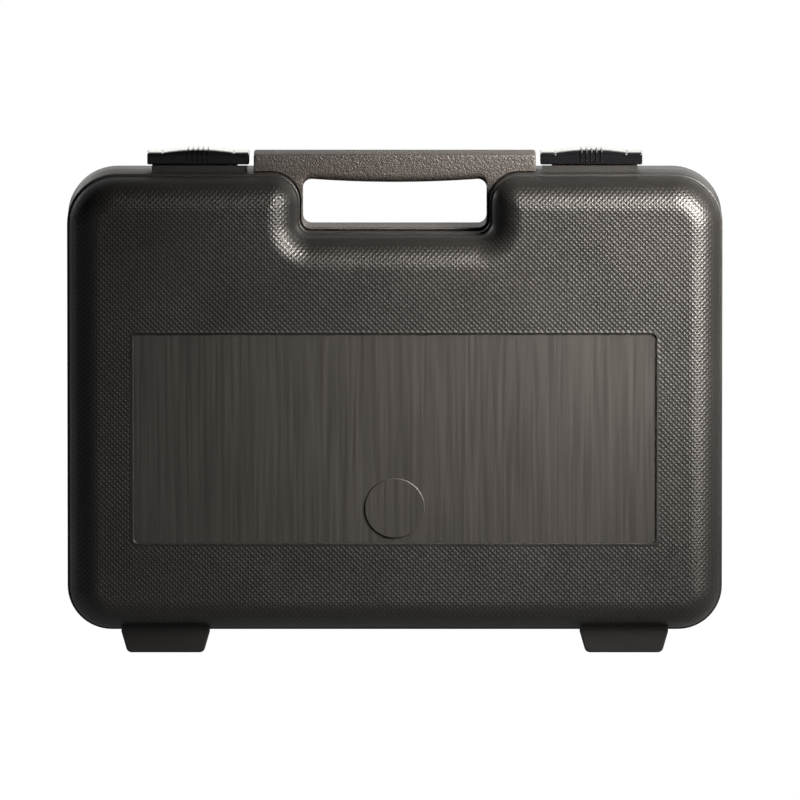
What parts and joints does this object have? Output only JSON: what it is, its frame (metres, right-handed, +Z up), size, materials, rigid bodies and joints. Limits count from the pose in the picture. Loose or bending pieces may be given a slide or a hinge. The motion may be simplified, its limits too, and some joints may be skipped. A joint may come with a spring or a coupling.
{
  "type": "microphone case",
  "caption": "Hard moulded carry case with domed halves, closed grip ring, sliding latches, hinge feet and pocketed foam for microphones.",
  "frame": {"origin": "middle of the case on the plane that the feet stand on", "axes": "+X along the case to the right as the lid is seen, +Y from the lid to the base, +Z up from the feet to the handle"},
  "size_m": [0.34, 0.084, 0.2605],
  "materials": {
    "shell_plastic": "blow-moulded black polyethylene, satin, with a moulded diamond grain on the domes",
    "handle_plastic": "moulded black polypropylene with a pebble grain",
    "latch_plastic": "polished black moulded acetal",
    "pin_steel": "drawn steel wire, cut to length",
    "foam": "charcoal open-cell foam, die-cut"
  },
  "bodies": {
    "base": {"base_shell": "shell_plastic", "handle": "handle_plastic", "hinge_pin_left": "pin_steel", "hinge_pin_right": "pin_steel", "base_foam_backing": "foam", "base_foam_tray": "foam"},
    "lid": {"lid_shell": "shell_plastic", "lid_foam": "foam", "lid_keepers_left": "shell_plastic", "lid_keepers_right": "shell_plastic"},
    "latch_left": {"latch_slide_left": "latch_plastic", "latch_teeth_left": "latch_plastic"},
    "latch_right": {"latch_slide_right": "latch_plastic", "latch_teeth_right": "latch_plastic"}
  },
  "joints": [
    {"name": "lid_hinge", "type": "hinge", "parent": "base", "child": "lid", "pos_m": [0, 0, 0.0045], "axis": [1, 0, 0], "range_deg": [0, 105]},
    {"name": "latch_left_slide", "type": "slide", "parent": "base", "child": "latch_left", "axis": [-1, 0, 0], "range_m": [0, 0.009]},
    {"name": "latch_right_slide", "type": "slide", "parent": "base", "child": "latch_right", "axis": [1, 0, 0], "range_m": [0, 0.009]}
  ]
}
